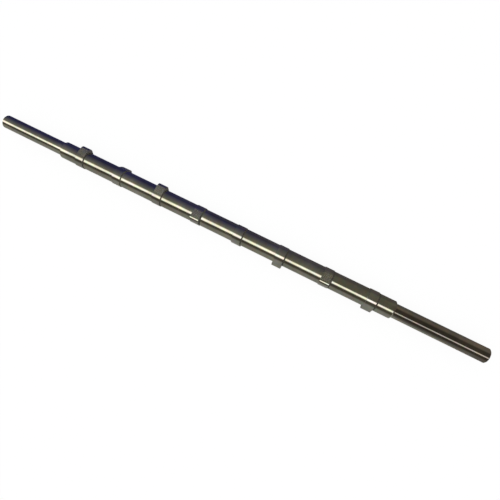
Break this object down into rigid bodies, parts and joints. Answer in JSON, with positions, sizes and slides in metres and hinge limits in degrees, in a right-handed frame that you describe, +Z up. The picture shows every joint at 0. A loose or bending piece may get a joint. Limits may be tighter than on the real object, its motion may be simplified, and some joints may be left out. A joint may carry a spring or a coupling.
{
  "type": "camshaft",
  "caption": "Long slim camshaft: a ground steel shaft with eight narrow lobes whose noses point different ways, and a plain round stub at each end.",
  "frame": {"origin": "on the shaft's axis, halfway along the long stub", "axes": "+X along the shaft and out of the long stub, +Z up as the shaft lies at rest, +Y to the side"},
  "size_m": [0.7645, 0.0349, 0.03],
  "materials": {
    "ground_steel": "ground and polished steel with a thin oil film, lobes ground a little duller than the shaft"
  },
  "bodies": {
    "root": {"camshaft": "ground_steel"}
  },
  "joints": []
}
